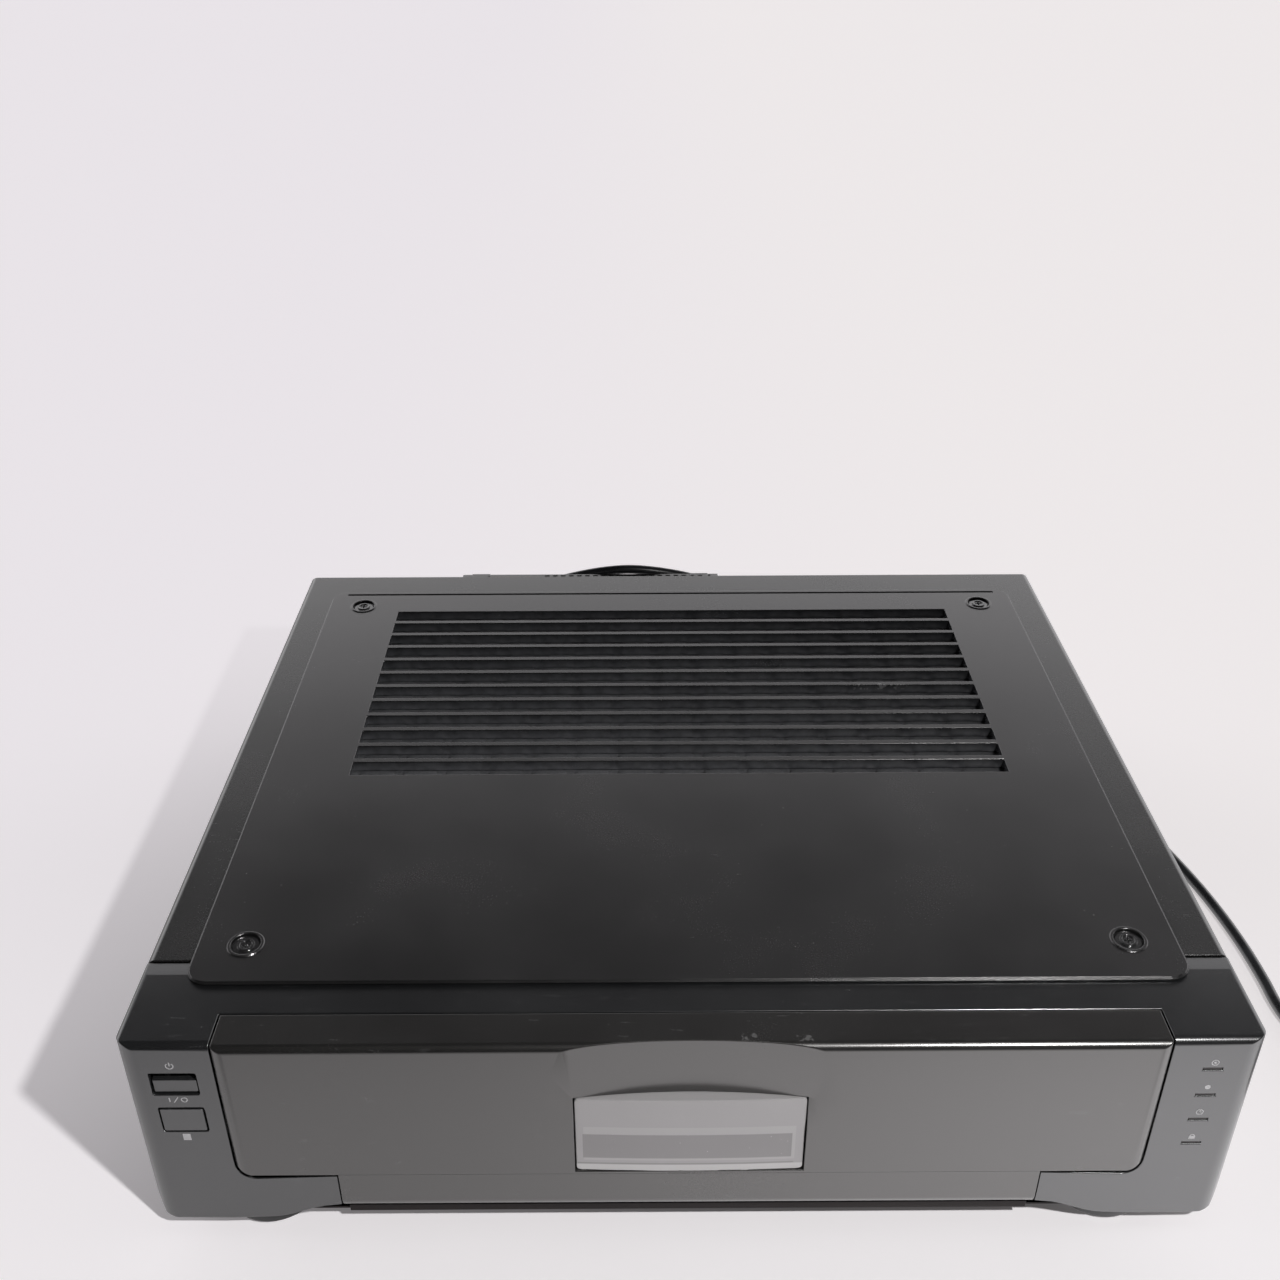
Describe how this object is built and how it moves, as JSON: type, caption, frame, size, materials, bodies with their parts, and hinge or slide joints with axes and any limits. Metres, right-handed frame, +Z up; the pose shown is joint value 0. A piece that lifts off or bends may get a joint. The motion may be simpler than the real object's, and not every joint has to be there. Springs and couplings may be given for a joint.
{
  "type": "vhs video cassette recorder",
  "caption": "Full-width front-loading video cassette recorder with a flip-down front door, cassette basket, helical tape deck, louvred top panel and mains lead.",
  "frame": {"origin": "under the middle of the recorder, on the surface that its foot pads rest on; the mains lead isn't counted", "axes": "+X to the recorder's right as seen from the front, +Y towards its back, +Z up"},
  "size_m": [0.594, 0.4332, 0.1085],
  "materials": {
    "bezel_plastic": "fine moulded grain, satin",
    "door_plastic": "fine moulded grain, satin",
    "key_plastic": "satin",
    "record_red": "satin",
    "panel_plastic": "fine grain, satin",
    "cover_paint": "matt textured black paint",
    "vent_paint": "matt black paint",
    "screw_black": "satin black plating",
    "zinc_steel": "zinc plated sheet",
    "deck_steel": "pressed plated sheet",
    "drum_metal": "turned and polished",
    "black_plastic": "moulded",
    "rubber": "soft, matt",
    "pad_felt": "ribbed rubber",
    "indicator": "tinted light guide",
    "board": "lacquered board",
    "power_board": "bare phenolic board",
    "display_glass": "dark glass tube",
    "lens": "smoked, polished",
    "window_clear": "smoked clear acrylic",
    "mask_grey": "printed film",
    "filter_dark": "tinted film",
    "core_steel": "varnished laminations",
    "gear_plastic": "natural acetal",
    "cord_sheath": "smooth flexible sheath"
  },
  "bodies": {
    "casing": {"front_bezel": "bezel_plastic", "inner_fascia": "bezel_plastic", "top_cover": "cover_paint", "louvre_panel": "panel_plastic", "vent_sheet": "vent_paint", "top_screws": "screw_black", "cover_screws": "screw_black", "bottom_tray": "cover_paint", "rear_panel": "cover_paint", "rear_vent_box": "cover_paint", "feet": "black_plastic", "foot_pads": "pad_felt", "indicator_lights": "indicator", "front_board": "board", "display_module": "display_glass", "display_lens": "lens", "main_board": "board", "power_board": "power_board", "transformer": "core_steel", "tuner_box": "zinc_steel", "jack_block": "black_plastic", "strain_relief": "cord_sheath", "deck_plate": "deck_steel", "lower_drum": "drum_metal", "capstan_motor": "core_steel", "tape_heads": "drum_metal", "loading_motor": "zinc_steel", "carriage_frame": "deck_steel", "cord": "cord_sheath", "cord_coil": "cord_sheath", "cord_tie": "black_plastic", "plug": "cord_sheath"},
    "door": {"door_panel": "door_plastic", "door_window": "window_clear", "window_mask": "mask_grey", "window_filter": "filter_dark"},
    "power_button": {"power_button": "bezel_plastic"},
    "open_button": {"open_button": "bezel_plastic"},
    "cassette_flap": {"cassette_flap": "black_plastic"},
    "play_button": {"play_button": "key_plastic"},
    "stop_button": {"stop_button": "key_plastic"},
    "rewind_button": {"rewind_button": "key_plastic"},
    "forward_button": {"forward_button": "key_plastic"},
    "pause_button": {"pause_button": "key_plastic"},
    "record_button": {"record_button": "record_red"},
    "channel_rocker": {"channel_rocker": "key_plastic"},
    "jog_dial": {"jog_dial": "key_plastic"},
    "shuttle_ring": {"shuttle_ring": "black_plastic"},
    "upper_drum": {"upper_drum": "drum_metal"},
    "capstan": {"capstan": "drum_metal"},
    "supply_reel": {"supply_reel": "black_plastic"},
    "takeup_reel": {"takeup_reel": "black_plastic"},
    "pinch_arm": {"pinch_arm": "deck_steel"},
    "pinch_roller": {"pinch_roller": "rubber"},
    "supply_guide": {"supply_guide": "deck_steel"},
    "takeup_guide": {"takeup_guide": "deck_steel"},
    "loading_gear": {"loading_gear": "gear_plastic"},
    "reversing_gear": {"reversing_gear": "gear_plastic"},
    "cassette_lift": {"cassette_lift": "deck_steel"},
    "cassette_basket": {"cassette_basket": "deck_steel"}
  },
  "joints": [
    {"name": "door_hinge", "type": "hinge", "parent": "casing", "child": "door", "pos_m": [0, -0.1847, 0.02], "axis": [1, 0, 0], "range_deg": [0, 90]},
    {"name": "power_press", "type": "slide", "parent": "casing", "child": "power_button", "axis": [0, 1, 0], "range_m": [0, 0.001], "stiffness_N_per_m": 1200},
    {"name": "open_press", "type": "slide", "parent": "casing", "child": "open_button", "axis": [0, 1, 0], "range_m": [0, 0.001], "stiffness_N_per_m": 1200},
    {"name": "flap_hinge", "type": "hinge", "parent": "casing", "child": "cassette_flap", "pos_m": [0, -0.1728, 0.1012], "axis": [1, 0, 0], "range_deg": [0, 85], "stiffness_Nm_per_rad": 0.004, "springref_deg": -22.92},
    {"name": "play_press", "type": "slide", "parent": "casing", "child": "play_button", "axis": [0, 1, 0], "range_m": [0, 0.001], "stiffness_N_per_m": 1000},
    {"name": "stop_press", "type": "slide", "parent": "casing", "child": "stop_button", "axis": [0, 1, 0], "range_m": [0, 0.001], "stiffness_N_per_m": 1000},
    {"name": "rewind_press", "type": "slide", "parent": "casing", "child": "rewind_button", "axis": [0, 1, 0], "range_m": [0, 0.001], "stiffness_N_per_m": 1000},
    {"name": "forward_press", "type": "slide", "parent": "casing", "child": "forward_button", "axis": [0, 1, 0], "range_m": [0, 0.001], "stiffness_N_per_m": 1000},
    {"name": "pause_press", "type": "slide", "parent": "casing", "child": "pause_button", "axis": [0, 1, 0], "range_m": [0, 0.001], "stiffness_N_per_m": 1000},
    {"name": "record_press", "type": "slide", "parent": "casing", "child": "record_button", "axis": [0, 1, 0], "range_m": [0, 0.001], "stiffness_N_per_m": 1000},
    {"name": "channel_rock", "type": "hinge", "parent": "casing", "child": "channel_rocker", "pos_m": [0.08, -0.1738, 0.048], "axis": [1, 0, 0], "range_deg": [-4, 4], "stiffness_Nm_per_rad": 0.2},
    {"name": "jog_spin", "type": "hinge", "parent": "casing", "child": "jog_dial", "pos_m": [0.138, -0.178, 0.057], "axis": [0, 1, 0], "continuous": true},
    {"name": "shuttle_turn", "type": "hinge", "parent": "casing", "child": "shuttle_ring", "pos_m": [0.138, -0.178, 0.057], "axis": [0, 1, 0], "range_deg": [-70, 70], "stiffness_Nm_per_rad": 0.02},
    {"name": "drum_spin", "type": "hinge", "parent": "casing", "child": "upper_drum", "pos_m": [0, 0.032, 0.0415], "axis": [-0.1028, 0, 0.9947], "continuous": true},
    {"name": "capstan_spin", "type": "hinge", "parent": "casing", "child": "capstan", "pos_m": [0.058, 0.003, 0.0415], "axis": [0, 0, 1], "continuous": true},
    {"name": "supply_spin", "type": "hinge", "parent": "casing", "child": "supply_reel", "pos_m": [-0.046, -0.062, 0.0415], "axis": [0, 0, 1], "continuous": true},
    {"name": "takeup_spin", "type": "hinge", "parent": "casing", "child": "takeup_reel", "pos_m": [0.046, -0.062, 0.0415], "axis": [0, 0, 1], "continuous": true},
    {"name": "pinch_swing", "type": "hinge", "parent": "casing", "child": "pinch_arm", "pos_m": [0.084, 0, 0.046], "axis": [0, 0, 1], "range_deg": [-40, 0]},
    {"name": "roller_spin", "type": "hinge", "parent": "pinch_arm", "child": "pinch_roller", "pos_m": [0.07147, -0.01929, 0.056], "axis": [0, 0, 1], "continuous": true},
    {"name": "takeup_thread", "type": "hinge", "parent": "casing", "child": "takeup_guide", "pos_m": [0, 0.032, 0.036], "axis": [0, 0, 1], "range_deg": [0, 62]},
    {"name": "supply_thread", "type": "hinge", "parent": "casing", "child": "supply_guide", "pos_m": [0, 0.032, 0.039], "axis": [0, 0, 1], "range_deg": [-62, 0]},
    {"name": "loading_turn", "type": "hinge", "parent": "casing", "child": "loading_gear", "pos_m": [0.02488, 0.07508, 0.035], "axis": [0, 0, 1], "range_deg": [-348, 0]},
    {"name": "reversing_turn", "type": "hinge", "parent": "casing", "child": "reversing_gear", "pos_m": [0.01065, 0.0806, 0.038], "axis": [0, 0, 1], "range_deg": [0, 348]},
    {"name": "lift_drop", "type": "slide", "parent": "casing", "child": "cassette_lift", "axis": [0, 0, -1], "range_m": [0, 0.022]},
    {"name": "basket_travel", "type": "slide", "parent": "cassette_lift", "child": "cassette_basket", "axis": [0, 1, 0], "range_m": [0, 0.074]}
  ],
  "couplings": [
    {"joint": "supply_thread", "follows": "takeup_thread", "ratio": -1},
    {"joint": "loading_turn", "follows": "takeup_thread", "ratio": -5.6},
    {"joint": "reversing_turn", "follows": "takeup_thread", "ratio": 5.6}
  ]
}
